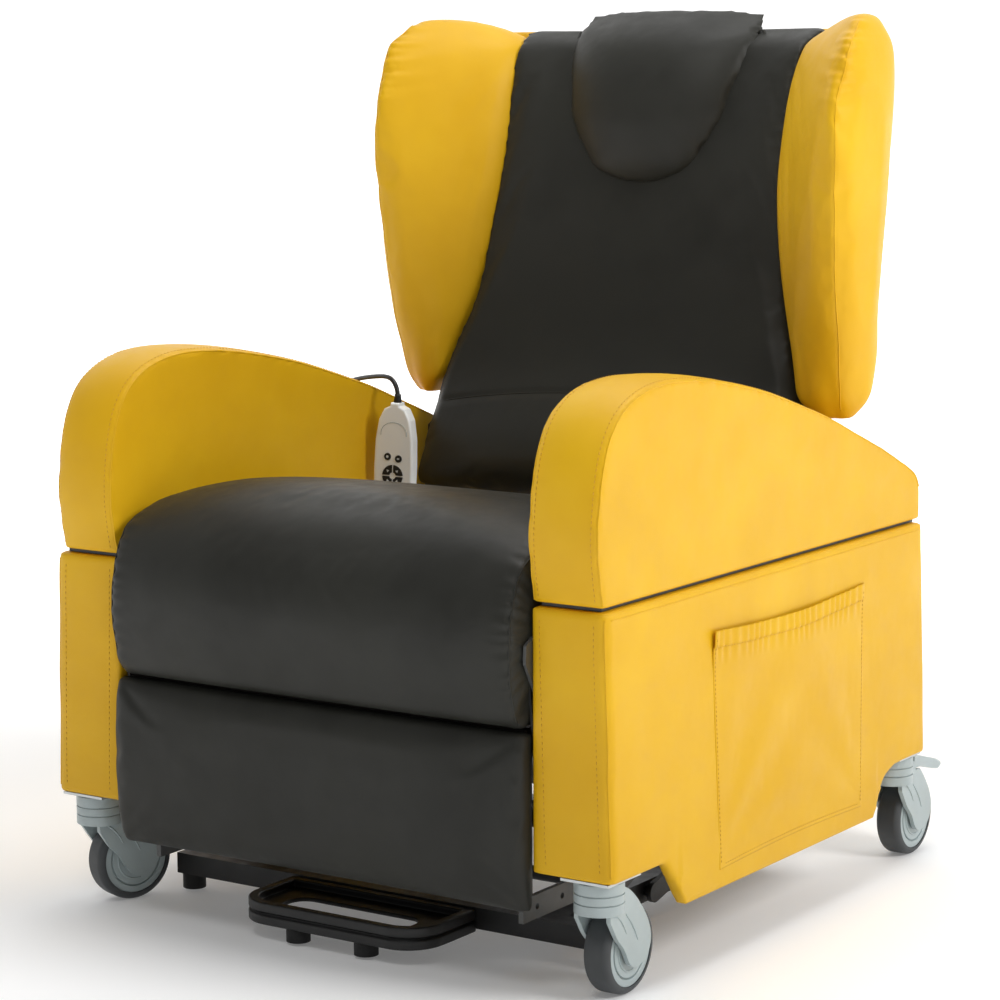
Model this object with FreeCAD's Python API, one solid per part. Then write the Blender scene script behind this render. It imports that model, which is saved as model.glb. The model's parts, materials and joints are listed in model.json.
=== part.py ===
import FreeCAD, Part
import os, math

# Electric riser-recliner patient chair on four 100 mm castors.
# Millimetres, +Z up, occupant faces -Y, +X is the occupant's left hand.
# Everything is laid out about the chair's mid-plane (x = 0) with the floor at z = 0,
# and moved by Y_SHIFT on export so that the origin is under the middle of the chair.

V = FreeCAD.Vector
os.makedirs("parts", exist_ok=True)

# ---------------------------------------------------------------- driving sizes
Y_SHIFT = -19.0
HALF_W = 375.0          # outer face of the side box at its top
FLARE = 10.0            # outward lean of the outer face over its height
BOX_IN = 287.0          # inner face of side boxes and armrests
BOX_F, BOX_R = -371.0, 371.0
BOX_TOP, BOX_BOT, SKIRT_BOT = 427.0, 138.0, 84.0
ARM_BOT = 430.0
SEAT_HW = 279.0         # half width of the seat cushion
LEG_HW = 284.0          # half width of the legrest pad
WHEEL_R, WHEEL_W = 50.0, 32.0
TRAIL = 39.0
STEM_X, STEM_YF, STEM_YR = 351.0, -339.0, 348.0
FRONT_RIGHT_TURN = -18.85   # degrees the front right castor stands turned
LEG_PIVOT = (-366.0, 375.0)   # y, z of the legrest hinge
BACK_PIVOT = (230.0, 400.0)   # y, z of the recline hinge
LIFT_H1 = (150.0, 84.0)       # y, z lift arm on the chassis rail
LIFT_B1 = (-50.0, 35.0)       # y, z lift arm on the floor frame
LIFT_H2 = (-71.0, 84.0)       # y, z front link on the chassis rail
LIFT_B2 = (-195.0, 35.0)      # y, z front link on the floor frame
RAIL_X0, RAIL_X1 = 252.0, 258.0
FIT = 0.05              # radial clearance of pins and shafts
HAND_P = (-253.5, 131.0, 440.0)   # bottom centre of the handset
HAND_L, HAND_W, HAND_T = 122.0, 53.0, 21.0
HAND_YAW = 14.0         # degrees turned towards the middle of the seat
CORD_R = 3.0

parts = {}


def keep(name, shape):
    parts[name] = shape


def box(x0, x1, y0, y1, z0, z1):
    return Part.makeBox(x1 - x0, y1 - y0, z1 - z0, V(x0, y0, z0))


def cyl(p, d, r, h):
    return Part.makeCylinder(r, h, V(*p), V(*d))


def poly_x(pts, x0, x1):
    """Prism along X from a (y, z) outline."""
    w = [V(x0, y, z) for y, z in pts]
    return Part.Face(Part.makePolygon(w + [w[0]])).extrude(V(x1 - x0, 0, 0))


def poly_y(pts, y0, y1):
    """Prism along Y from an (x, z) outline."""
    w = [V(x, y0, z) for x, z in pts]
    return Part.Face(Part.makePolygon(w + [w[0]])).extrude(V(0, y1 - y0, 0))


def poly_z(pts, z0, z1):
    w = [V(x, y, z0) for x, y in pts]
    return Part.Face(Part.makePolygon(w + [w[0]])).extrude(V(0, 0, z1 - z0))


def fuse(*s):
    out = s[0]
    for t in s[1:]:
        out = out.fuse(t)
    return out.removeSplitter()


def mirror(s):
    return s.mirror(V(0, 0, 0), V(1, 0, 0))


def soften(shape, r, test):
    """Round the edges whose mid-point passes test, if the kernel can."""
    es = [e for e in shape.Edges if test(e.valueAt((e.FirstParameter + e.LastParameter) / 2))]
    for k in (1.0, 0.6, 0.3):
        try:
            out = shape.makeFillet(r * k, es)
            if out.isValid() and out.Volume > 0:
                return out
        except Exception:
            pass
    return shape


def link(a, b, r, x0, x1):
    """Flat bar with round ends between two (y, z) points."""
    ya, za = a
    yb, zb = b
    L = math.hypot(yb - ya, zb - za)
    ny, nz = -(zb - za) / L * r, (yb - ya) / L * r
    bar = poly_x([(ya + ny, za + nz), (yb + ny, zb + nz), (yb - ny, zb - nz), (ya - ny, za - nz)], x0, x1)
    return fuse(bar, cyl((x0, ya, za), (1, 0, 0), r, x1 - x0), cyl((x0, yb, zb), (1, 0, 0), r, x1 - x0))


def hole(yz, r, x0, x1):
    return cyl((x0, yz[0], yz[1]), (1, 0, 0), r, x1 - x0)


# ---------------------------------------------------------------- side boxes
def face_x(z):
    return HALF_W + (BOX_TOP - z) * FLARE / (BOX_TOP - SKIRT_BOT)


def side_box():
    skirt = [(BOX_F, BOX_BOT), (-262, BOX_BOT), (-257, 133), (-222, SKIRT_BOT), (228, SKIRT_BOT),
             (233, 92), (240, 106), (251, 120), (266, 130), (284, 136), (310, BOX_BOT), (BOX_R, BOX_BOT),
             (BOX_R, BOX_TOP), (BOX_F, BOX_TOP)]
    top, bot = face_x(BOX_TOP), face_x(60)
    lean = poly_y([(top - 15, BOX_TOP), (top, BOX_TOP), (bot, 60), (bot - 15, 60)], BOX_F, BOX_R)
    board = poly_x(skirt, 340, 400).common(lean)
    lowx = face_x(BOX_BOT)
    end = [(BOX_IN, BOX_BOT), (lowx, BOX_BOT), (HALF_W, BOX_TOP), (BOX_IN, BOX_TOP)]
    ends = poly_y(end, BOX_F, -290).fuse(poly_y(end, 290, BOX_R))
    inner = box(BOX_IN, BOX_IN + 14, -290, 290, BOX_BOT, BOX_TOP)
    lid = box(BOX_IN, HALF_W, -290, 290, BOX_TOP - 18, BOX_TOP)
    s = fuse(board, ends, inner, lid)
    s = soften(s, 9.0, lambda p: abs(abs(p.y) - 371) < 0.6 and p.x > 374 and 160 < p.z < 420)
    for y in (STEM_YF, STEM_YR):
        s = s.cut(cyl((STEM_X, y, BOX_BOT - 2), (0, 0, 1), 6.0, 42))
    for y in (-312.0, 312.0):
        s = s.cut(cyl((331, y, 262), (0, 0, 1), 9.0 + FIT, 180))
    return s


side = side_box()
pin_leg = cyl((279.5, LEG_PIVOT[0], LEG_PIVOT[1]), (1, 0, 0), 6, 7.5)
pin_back = fuse(cyl((272, BACK_PIVOT[0], BACK_PIVOT[1]), (1, 0, 0), 8, 15),
                cyl((281.5, BACK_PIVOT[0], BACK_PIVOT[1]), (1, 0, 0), 14, 5.5))
keep("side_box_left", side)
keep("side_box_right", mirror(side))

# ---------------------------------------------------------------- chassis steelwork
# Upper rail, perforated lower rail, two hangers and both hinge pins: one welded side frame each.
rail = box(257, 287, -315, 300, 250, 288)
lower = box(RAIL_X0, RAIL_X1, -345, 245, 71, 98)
hang = fuse(box(RAIL_X0, RAIL_X1, -200, -165, 98, 258), box(RAIL_X0, RAIL_X1, 190, 225, 98, 258))
frame_side = fuse(rail.common(box(258, 287, -400, 400, 200, 300)), lower, hang,
                  box(RAIL_X0, 262, -200, -165, 250, 288), box(RAIL_X0, 262, 190, 225, 250, 288))
for y in (-317.0, -267.0):
    frame_side = frame_side.cut(hole((y, 84.5), 3.5, 240, 270))
frame_side = frame_side.cut(hole(LIFT_H1, 6 + FIT, 240, 270)).cut(hole(LIFT_H2, 6 + FIT, 240, 270))
ear_leg = poly_x([(-315, 262), (-290, 288), (-352, 388), (-366, 394), (-381, 386), (-382, 366), (-345, 300)], 283.3, 287)
ear_back = poly_x([(205, 288), (255, 288), (247, 412), (230, 419), (213, 412)], 283, 287)
frame_side = fuse(frame_side, ear_leg, ear_back, pin_leg, pin_back)
keep("chassis_frame_left", frame_side)
keep("chassis_frame_right", mirror(frame_side))

# Cross members with the three actuator brackets.
cross_f = box(-252, 252, -212, -187, 260, 286)
br = lambda x, pts: poly_x(pts, x, x + 4)
rec_c = (-160.0, 150.0)
rec_br = [(-210, 262), (-188, 262), (-146, 152), (-152, 136), (-168, 136), (-176, 150)]
cross_f = fuse(cross_f, br(-22, rec_br), br(18, rec_br), hole(rec_c, 5, -22, 22))
keep("cross_member_front", cross_f)
leg_c = (60.0, 118.0)
leg_br = [(30, 262), (55, 262), (74, 118), (66, 104), (54, 104), (46, 118)]
cross_m = fuse(box(-258, 258, 28, 56, 260, 286), br(46, leg_br), br(90, leg_br), hole(leg_c, 5, 46, 94))
keep("cross_member_middle", cross_m)
lift_c = (250.0, 225.0)
lift_br = [(270, 284), (292, 284), (292, 262), (262, 213), (250, 211), (238, 217), (238, 232), (252, 240)]
cross_r = fuse(box(-258, 258, 272, 298, 258, 284), br(-96, lift_br), br(-52, lift_br), hole(lift_c, 5, -96, -48))
keep("cross_member_rear", cross_r)
keep("seat_deck", box(-283, 283, -328, 100, 288, 300))
keep("control_box", fuse(box(120, 230, 70, 190, 244, 284), box(135, 215, 80, 99, 284, 288)))


# ---------------------------------------------------------------- seat cushion
def seat_section(x, drop, inset):
    """Side outline of the seat at one x: rear bottom, rear, crowned top, front roll, underside."""
    top = [(112, 405), (106, 440), (84, 456 - drop * 0.6), (40, 468 - drop), (-40, 484 - drop), (-130, 500 - drop),
           (-215, 511 - drop), (-288, 513 - drop), (-338, 503 - drop * 0.9), (-374 + inset * 0.3, 478 - drop * 0.5),
           (-396 + inset, 440), (-406 + inset, 395), (-405 + inset, 352), (-398 + inset, 318), (-387 + inset * 0.6, 299), (-371, 293), (-350, 293)]
    pts = [V(x, y, z) for y, z in top]
    c = Part.BSplineCurve()
    c.interpolate(pts)
    a, b = pts[0], pts[-1]
    q1, q2 = V(x, -331, 300.3), V(x, 96, 300.3)
    return Part.Wire([c.toShape(), Part.makeLine(b, q1), Part.makeLine(q1, q2), Part.makeLine(q2, a)])


seat = Part.makeLoft([seat_section(-SEAT_HW, 22, 9), seat_section(-212, 7, 2), seat_section(0, 0, 0),
                      seat_section(212, 7, 2), seat_section(SEAT_HW, 22, 9)], True, False)
keep("seat_cushion", seat)

# ---------------------------------------------------------------- legrest
pad = [(-383, 288), (-376, 290.5), (-366, 291), (-362, 287), (-362, 104), (-364, 96), (-369, 92), (-377, 94),
       (-384, 108), (-390, 142), (-393, 185), (-392, 230), (-388, 272)]
leg_pad = poly_x(pad, -LEG_HW, LEG_HW)
leg_pad = soften(leg_pad, 10.0, lambda p: abs(abs(p.x) - LEG_HW) < 0.5 and p.y < -380)
keep("legrest_pad", leg_pad)
leg_board = box(-274, 274, -362, -350, 106, 290.5)
keep("legrest_board", leg_board)
leg_tube = (-338.0, 190.0)
arm = fuse(link(LEG_PIVOT, leg_tube, 8, 279.7, 283), hole(LEG_PIVOT, 14, 279.7, 283)).cut(hole(LEG_PIVOT, 6 + FIT, 270, 285))
leg_d = (-280.0, 255.0)
lb = [(-350, 170), (-350, 276), (-290, 270), (-268, 262), (-266, 250), (-276, 241), (-328, 176)]
leg_cross = fuse(arm, mirror(arm), hole(leg_tube, 10, -283, 283), poly_x([(-350, 180), (-350, 200), (-338, 200), (-338, 180)], -200, 200),
                 poly_x(lb, 50, 54), poly_x(lb, 86, 90))
keep("legrest_frame", leg_cross)

# ---------------------------------------------------------------- back
# Level table: z | centre of the front | wing seam (x, y) | wing ridge | wing side | rear corner | inner rear
LV = [
    (445.0, 166, (262, 176), None, None, None, (262, 302)),
    (500.0, 186, (266, 205), None, None, None, (266, 308)),
    (548.0, 212, (268, 232), None, None, None, (268, 314)),
    (589.0, 238, (266, 251), (318, 250), (338, 300), (306, 322), (262, 325)),
    (633.0, 262, (252, 263), (324, 234), (341, 314), (306, 346), (240, 347)),
    (690.0, 284, (233, 279), (327, 222), (342, 316), (306, 356), (225, 358)),
    (756.0, 301, (219, 288), (330, 213), (343, 322), (306, 366), (212, 369)),
    (832.0, 322, (209, 299), (333, 204), (344, 330), (306, 378), (202, 382)),
    (898.0, 338, (206, 316), (333, 204), (344, 336), (306, 388), (200, 394)),
    (962.0, 356, (209, 332), (333, 215), (344, 342), (306, 397), (204, 405)),
    (1008.0, 374, (214, 355), (333, 240), (340, 346), (304, 402), (212, 412)),
    (1032.0, 394, (222, 378), (330, 268), (334, 340), (298, 398), (220, 416)),
]


def ring(pts, z):
    w = [V(x, y, z) for x, y in pts]
    return Part.makePolygon(w + [w[0]])


def back_ring(l):
    z, yc, s, _, _, _, r = l
    mid = (s[0] * 0.55, (yc + s[1]) / 2 + (yc - s[1]) * 0.3)
    return ring([(0, yc), mid, s, r, (-r[0], r[1]), (-s[0], s[1]), (-mid[0], mid[1])], z)


back = Part.makeLoft([back_ring(l) for l in LV], True, True)
keep("back_cushion", back)
tip = [(274, 258), (300, 262), (324, 268), (332, 292), (304, 306), (276, 304)]


def wing_ring(l, g=0.3):
    z, yc, s, a, b, c, r = l
    m = ((s[0] + a[0]) / 2 + 6, (s[1] + a[1]) / 2 - 4)
    return ring([(s[0] + g, s[1]), m, a, b, c, (r[0] + g, r[1])], z)


up = [l for l in LV if l[3]]
wing = Part.makeLoft([ring(tip, 557.0)] + [wing_ring(l) for l in up] + [ring([(262, 352), (286, 322), (318, 290), (324, 330), (292, 384), (262, 386)], 1048.0)], True, True)
keep("wing_left", wing)
keep("wing_right", mirror(wing))


# Rear cover: upholstered panel closing the back, with its own 26 mm of depth.
def shell_ring(l):
    z, _, _, _, _, c, r = l
    xo = (c[0] - 4) if c else r[0] - 2
    yo = max(r[1], c[1] if c else 0) + 0.4
    return ring([(-xo, yo), (xo, yo), (xo - 10, yo + 20), (xo - 30, yo + 26), (-(xo - 30), yo + 26), (-(xo - 10), yo + 20)], z)


shell_r = Part.makeLoft([shell_ring(l) for l in LV], True, True)
keep("back_shell", shell_r)
# Headrest pillow, lying on the upper front of the back.
HP = [(838, 30, 325, 4), (848, 66, 329, 14), (872, 92, 335, 26), (917, 121, 343, 36), (950, 131, 352, 39),
      (983, 138, 363, 38), (1012, 142, 377, 34), (1032, 145, 393, 26), (1052, 140, 416, 14), (1058, 132, 421, 6)]


def pillow_ring(z, w, y, t):
    back_y = y - 3
    return ring([(-w, back_y), (-w * 0.8, back_y - t * 0.72), (-w * 0.35, back_y - t), (w * 0.35, back_y - t), (w * 0.8, back_y - t * 0.72), (w, back_y),
                 (w * 0.5, back_y + 1.5), (-w * 0.5, back_y + 1.5)], z)


pillow = Part.makeLoft([pillow_ring(*h) for h in HP], True, True)
pillow = pillow.cut(back)
pillow = max(pillow.Solids, key=lambda s: s.Volume)
keep("headrest_pillow", pillow)
# Back frame: two side plates on the hinge pins, a cross tube and the actuator lever.
plate = poly_x([(212, 392), (220, 382), (240, 382), (262, 412), (286, 430), (300, 520), (278, 540), (244, 520), (236, 440), (214, 410)], 274, 280)
plate = plate.cut(hole(BACK_PIVOT, 8 + FIT, 270, 285))
back_tube = (268.0, 430.0)
rec_d = (250.0, 210.0)
rl = [(256, 432), (282, 432), (264, 212), (258, 198), (242, 198), (236, 212)]
back_cross = fuse(plate, mirror(plate), hole(back_tube, 11, -275, 275), poly_x(rl, -20, -16), poly_x(rl, 16, 20),
                  box(-200, -170, 262, 286, 438, 445), box(170, 200, 262, 286, 438, 445))
keep("back_frame", back_cross)


# ---------------------------------------------------------------- armrests
ARM = [(-368, 431), (-374, 461), (-378, 503), (-376, 530), (-369, 570), (-353, 608), (-328, 633), (-291, 649),
       (-243, 656), (-199, 655), (-143, 649), (-74, 637), (-14, 624), (74, 599), (138, 579), (205, 554), (274, 528), (332, 503),
       (361, 487), (371, 470), (371, 431)]
apts = [V(BOX_IN, y, z) for y, z in ARM]
acurve = Part.BSplineCurve()
acurve.interpolate(apts[:-1])
aw = Part.Wire([acurve.toShape(), Part.makeLine(apts[-2], apts[-1]), Part.makeLine(apts[-1], apts[0])])
arm_pad = Part.Face(aw).extrude(V(HALF_W - BOX_IN, 0, 0))
arm_pad = soften(arm_pad, 7.0, lambda p: p.z > 431.5 and (abs(p.x - BOX_IN) < 0.3 or abs(p.x - HALF_W) < 0.3) and p.y < 365)
keep("armrest_pad_left", arm_pad)
keep("armrest_pad_right", mirror(arm_pad))
mount = box(294, 368, -362, 364, BOX_TOP + 0.4, 431)
for y in (-312.0, 312.0):
    mount = mount.fuse(cyl((331, y, 272), (0, 0, 1), 9, 158))
mount = mount.removeSplitter()
keep("armrest_frame_left", mount)
keep("armrest_frame_right", mirror(mount))


# ---------------------------------------------------------------- castors
FORK_FRONT = [(-14, 92), (-8, 83), (1, 70), (12, 58.5), (19, 48), (24, 39.5), (31, 34), (39, 32)]
FORK_REAR = [(39, 32), (52, 34), (63, 42), (68.5, 56), (66, 71), (58, 86), (47, 100), (36, 111.5), (24, 121), (8, 128)]


def smooth_edge(pts, x):
    c = Part.BSplineCurve()
    c.interpolate([V(x, y, z) for y, z in pts])
    return c.toShape()


def castor(x, y, turn, brake):
    T = lambda s: placed(s, x, y, turn)
    outline = Part.Wire([smooth_edge(FORK_FRONT, -23), smooth_edge(FORK_REAR, -23),
                         Part.makeLine(V(-23, 8, 128), V(-23, -14, 128)), Part.makeLine(V(-23, -14, 128), V(-23, -14, 92))])
    body = Part.Face(outline).extrude(V(46, 0, 0))
    inner = fuse(cyl((-17.5, TRAIL, WHEEL_R), (1, 0, 0), WHEEL_R + 3, 35), box(-17.5, 17.5, -33, TRAIL, 20, 99))
    head = cyl((0, 0, 99), (0, 0, 1), 27.5, 34)
    for z in (110.0, 120.0):
        head = head.cut(cyl((0, 0, z), (0, 0, 1), 36, 1.6).cut(cyl((0, 0, z), (0, 0, 1), 26.2, 1.6)))
    body = fuse(body, head).cut(inner)
    axle = cyl((-22, TRAIL, WHEEL_R), (1, 0, 0), 4, 44)
    s = fuse(body, axle)
    s = s.cut(cyl((0, 0, 100), (0, 0, 1), 6 + FIT, 40))
    if brake:
        s = s.cut(box(-30, 30, 23.5, 110, 112, 140))
    fork = T(s)
    tyre = cyl((-WHEEL_W / 2, TRAIL, WHEEL_R), (1, 0, 0), WHEEL_R, WHEEL_W)
    tyre = soften(tyre, 7.5, lambda p: abs(abs(p.x) - WHEEL_W / 2) < 0.1)
    tyre = tyre.cut(cyl((-20, TRAIL, WHEEL_R), (1, 0, 0), 41.5, 40))
    hub = cyl((-14.8, TRAIL, WHEEL_R), (1, 0, 0), 41.5, 29.6)
    for x0 in (-15.0, 12.0):
        hub = hub.cut(cyl((x0, TRAIL, WHEEL_R), (1, 0, 0), 33.6, 3).cut(cyl((x0, TRAIL, WHEEL_R), (1, 0, 0), 31.6, 3)))
    hub = fuse(hub, cyl((-16.8, TRAIL, WHEEL_R), (1, 0, 0), 10, 33.6))
    hub = hub.cut(cyl((-20, TRAIL, WHEEL_R), (1, 0, 0), 4 + FIT, 40))
    pin = fuse(box(x - 30, x + 30, y - 30 if y < 0 else y - 36, y + 36 if y < 0 else y + 21, 135, 138),
               cyl((x, y, 109), (0, 0, 1), 6, 26.5), cyl((x, y, 137), (0, 0, 1), 5.9, 36),
               cyl((x, y, 133.4), (0, 0, 1), 24, 2))
    out = {"fork": fork, "tyre": T(tyre), "hub": T(hub), "plate": pin}
    if brake:
        ped = poly_x([(29, 113.5), (24.6, 118), (27, 128), (37, 128), (62, 121), (94, 112), (103, 107.5), (104, 102.5), (98, 100),
                      (88, 101), (74, 104), (60, 108), (46, 112.6)], -20, 20)
        ped = fuse(ped, cyl((-20, 29, 118), (1, 0, 0), 4.5, 40))
        ped = soften(ped, 5.0, lambda p: abs(abs(p.x) - 20) < 0.1 and p.y > 98)
        out["pedal"] = T(ped)
    return out


def placed(s, x, y, turn):
    s = s.copy()
    s.rotate(V(0, 0, 0), V(0, 0, 1), turn)
    s.translate(V(x, y, 0))
    return s


plates = {}
for key, x, y, turn, brake in (("front_left", STEM_X, STEM_YF, 0.0, False), ("front_right", -STEM_X, STEM_YF, FRONT_RIGHT_TURN, False),
                               ("rear_left", STEM_X, STEM_YR, 0.0, True), ("rear_right", -STEM_X, STEM_YR, 0.0, True)):
    c = castor(x, y, turn, brake)
    plates.setdefault(key.split("_")[0], []).append(c["plate"])
    keep("castor_fork_" + key, c["fork"])
    keep("castor_tyre_" + key, c["tyre"])
    keep("castor_hub_" + key, c["hub"])
    if brake:
        keep("brake_pedal_" + key, c["pedal"])

for end, pair in plates.items():
    keep("castor_plates_" + end, Part.makeCompound(pair))

# ---------------------------------------------------------------- riser: floor frame, arms, links
bar_f = box(-308, 308, -250, -222, 22, 47)
bar_r = box(-240, 240, 200, 228, 22, 47)
sides = [box(s * 220 - 15, s * 220 + 15, -222, 200, 22, 47) for s in (-1, 1)]
floor_frame = fuse(bar_f, bar_r, *sides)
for s in (-1, 1):
    xa, xb = (229, 236) if s > 0 else (-236, -229)
    floor_frame = floor_frame.cut(hole(LIFT_B1, 6 + FIT, xa, xb))
keep("floor_frame", floor_frame)


def stadium(hx, y0, y1, r, z0, z1):
    b = box(-hx, hx, y0, y1, z0, z1)
    return soften(b, r, lambda p: abs(abs(p.x) - hx) < 0.3 and (abs(p.y - y0) < 0.3 or abs(p.y - y1) < 0.3))


loop = stadium(131, -362, -206, 44, 19, 45).common(box(-200, 200, -400, -250, 0, 100))
loop = loop.cut(stadium(119, -350, -190, 34, 36, 60).common(box(-200, 200, -400, -262, 0, 100)))
loop = loop.cut(stadium(119, -350, -190, 34, 0, 31))
loop = loop.cut(stadium(88, -338, -290, 20, 0, 60))
groove = stadium(140, -371, -150, 50, 30.5, 33.5).cut(stadium(128.5, -359.5, -150, 42, 30, 34))
loop = loop.cut(groove).removeSplitter()
keep("foot_loop", loop)
pads = []
for nm, x, y, ztop in (("front_left", 293, -236, 22), ("front_right", -293, -236, 22), ("rear_left", 222, 214, 22), ("rear_right", -222, 214, 22),
                       ("loop_left", 48, -347, 19), ("loop_right", -48, -347, 19)):
    pads.append(cyl((x, y, 3.5), (0, 0, 1), 14, ztop - 3.5))
keep("foot_pads", Part.makeCompound(pads))
arm1 = fuse(link(LIFT_H1, LIFT_B1, 12, 242, 248), hole(LIFT_H1, 6, 248, 258), hole(LIFT_B1, 6, 229.5, 242))
link2 = fuse(link(LIFT_H2, LIFT_B2, 10, 242, 248), hole(LIFT_H2, 6, 248, 258))
torque = (60.0, 65.0)
lift_d = (40.0, 110.0)
lv = [(50, 60), (72, 66), (54, 112), (42, 122), (30, 116), (28, 104)]
tube = fuse(arm1, mirror(arm1), hole(torque, 10, -243, 243), poly_x(lv, -94, -90), poly_x(lv, -58, -54))
keep("lift_arm", tube)
keep("front_link", fuse(link2, mirror(link2), hole((-133.0, 61.0), 8, -243, 243)))


# ---------------------------------------------------------------- actuators
def actuator(name, c, d, x, tube_len, rod_start):
    """Motor housing hinged at c, push rod ending in an eye at d, both in the plane x."""
    L = math.hypot(d[0] - c[0], d[1] - c[1])
    u = V(0, (d[0] - c[0]) / L, (d[1] - c[1]) / L)
    n = V(0, -u.z, u.y)
    P = V(x, c[0], c[1])
    eye = cyl((x - 14, c[0], c[1]), (1, 0, 0), 13, 28)
    body = Part.makeCylinder(17.5, tube_len - 14, P + u * 14, u)
    bore = Part.makeCylinder(9.5, tube_len, P + u * 24, u)
    gear = Part.makeBox(35, 46, 40)
    gear.Placement = FreeCAD.Placement(P + u * 16 - n * 20 - V(17.5, 0, 0), FreeCAD.Rotation(V(1, 0, 0), u, n, "XYZ"))
    side_n = -1 if name != "legrest" else -1
    motor = Part.makeCylinder(17, 92, P + u * 24 + n * (side_n * 34), u)
    motor = fuse(motor, Part.makeBox(1, 1, 1, P + u * 30))
    gear2 = Part.makeBox(34, 22, 38)
    gear2.Placement = FreeCAD.Placement(P + u * 26 + n * (side_n * 36) - V(17, 0, 0), FreeCAD.Rotation(V(1, 0, 0), u, n, "XYZ"))
    h = fuse(eye, body, gear, motor, gear2).cut(bore)
    h = h.cut(hole(c, 5 + 0.2, x - 30, x + 30))
    h = max(h.Solids, key=lambda s: s.Volume)
    rod = Part.makeCylinder(9.0, L - 8 - rod_start, P + u * rod_start, u)
    reye = cyl((x - 9, d[0], d[1]), (1, 0, 0), 12, 18)
    rod = fuse(rod, reye).cut(hole(d, 5.2, x - 30, x + 30))
    keep(name + "_actuator_housing", h)
    keep(name + "_actuator_rod", rod)


actuator("recline", rec_c, rec_d, 0.0, 262, 190)
actuator("legrest", leg_c, leg_d, 70.0, 330, 40)
actuator("lift", lift_c, lift_d, -74.0, 190, 90)

# ---------------------------------------------------------------- storage pocket on the left side box
px0, py0, py1, pz0, pz1 = 376.5, -155.0, 205.0, 106.0, 376.0
outer = poly_y([(face_x(pz1), pz1), (392.5, pz1), (392.5, pz0), (face_x(pz0), pz0)], py0, py1)
cav = poly_y([(face_x(pz1 + 4) - 0.01, pz1 + 4), (389.7, pz1 + 4), (389.7, pz0 + 8), (face_x(pz0 + 8) - 0.01, pz0 + 8)], py0 + 3, py1 - 3)
keep("storage_pocket", outer.cut(cav))

# ---------------------------------------------------------------- handset
rot = FreeCAD.Rotation(V(0, 0, 1), HAND_YAW).multiply(FreeCAD.Rotation(V(0, 1, 0), 2.5))
HP_PL = FreeCAD.Placement(V(*HAND_P), rot)
# Local frame: u across (x), n towards the front (-y), v up (z), origin at the bottom centre.
hw = HAND_W / 2
outline = [(-hw + 4, 0), (-hw + 0.5, 8), (-hw, 40), (-hw + 1, 74), (-hw + 5, 100), (-hw + 12, 114), (-6.5, 118), (-6, HAND_L), (6, HAND_L),
           (6.5, 118), (hw - 12, 114), (hw - 5, 100), (hw - 1, 74), (hw, 40), (hw - 0.5, 8), (hw - 4, 0)]
hs = poly_y(outline, -HAND_T / 2, HAND_T / 2)
hs = soften(hs, 3.0, lambda p: abs(abs(p.y) - HAND_T / 2) < 0.1)
front = -HAND_T / 2
btn = {}
for nm, u, v in (("light", -7.5, 52.5), ("lock", 7.5, 50.5)):
    hs = hs.cut(Part.makeCylinder(4.8, 4, V(u, front - 0.5, v), V(0, 1, 0)))
    btn[nm] = Part.makeCylinder(4.5, 2.6, V(u, front - 0.8, v), V(0, 1, 0))
qc = (0.0, 28.0)
ringc = lambda r0, r1, y, h: Part.makeCylinder(r1, h, V(qc[0], y, qc[1]), V(0, 1, 0)).cut(Part.makeCylinder(r0, h, V(qc[0], y, qc[1]), V(0, 1, 0)))


def quarter(k, r0, r1, gap, y, h):
    """One quarter of a ring, with a gap to its neighbours."""
    a0 = math.radians(90 * k)
    s = ringc(r0, r1, y, h)
    w = Part.makeBox(40, h + 2, 40, V(gap, y - 1, gap))
    w.rotate(V(0, 0, 0), V(0, -1, 0), 90 * k)
    w.translate(V(qc[0], 0, qc[1]))
    return s.common(w)


for k, nm in enumerate(("back_up", "legs_up", "legs_down", "back_down")):
    hs = hs.cut(quarter(k, 4.2, 14.3, 0.7, front - 0.5, 4))
    btn[nm] = quarter(k, 4.5, 14.0, 1.0, front - 0.8, 2.6)
place = lambda s: s.transformShape(HP_PL.toMatrix(), True) and s


def world(s):
    s = s.copy()
    s.Placement = HP_PL.multiply(s.Placement)
    return s


keep("handset_shell", world(hs))
for nm, s in btn.items():
    keep("handset_button_" + nm, world(s))

# ---------------------------------------------------------------- handset cord
nose = HP_PL.multVec(V(0, 0, HAND_L))
up_dir = rot.multVec(V(0, 0, 1))
c0 = nose
c1 = nose + up_dir * 12
route = [c0, c1, V(-253, 134.5, 584.5), V(-262.2, 138.2, 591.2), V(-275.1, 143.3, 593), V(-293.7, 150.7, 591.4), V(-324, 163, 587),
         V(-352, 174, 581), V(-379, 185, 570.5), V(-393, 193, 545), V(-396.4, 200, 502), V(-395, 207, 452), V(-392.5, 213, 400),
         V(-392, 217, 345), V(-392, 219, 292), V(-392, 219, 238.6)]


def cord_wire(pts):
    edges, radii, cur, length = [], [], pts[0], 0.0
    for i in range(1, len(pts) - 1):
        a, b, c = pts[i - 1], pts[i], pts[i + 1]
        d0, d1 = (b - a), (c - b)
        run = min(d0.Length, d1.Length)
        d0.normalize()
        d1.normalize()
        ang = d0.getAngle(d1)
        t = 0.45 * run
        r = t / math.tan(ang / 2)
        radii.append((round(r, 1), round(math.degrees(ang), 1)))
        s, e = b - d0 * t, b + d1 * t
        bis = (d1 - d0)
        bis.normalize()
        cen = b + bis * (r / math.cos(ang / 2))
        m = cen - bis * r
        if (s - cur).Length > 1e-6:
            edges.append(Part.LineSegment(cur, s).toShape())
            length += (s - cur).Length
        edges.append(Part.Arc(s, m, e).toShape())
        length += r * ang
        cur = e
    edges.append(Part.LineSegment(cur, pts[-1]).toShape())
    length += (pts[-1] - cur).Length
    return Part.Wire(edges), radii, length


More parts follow.
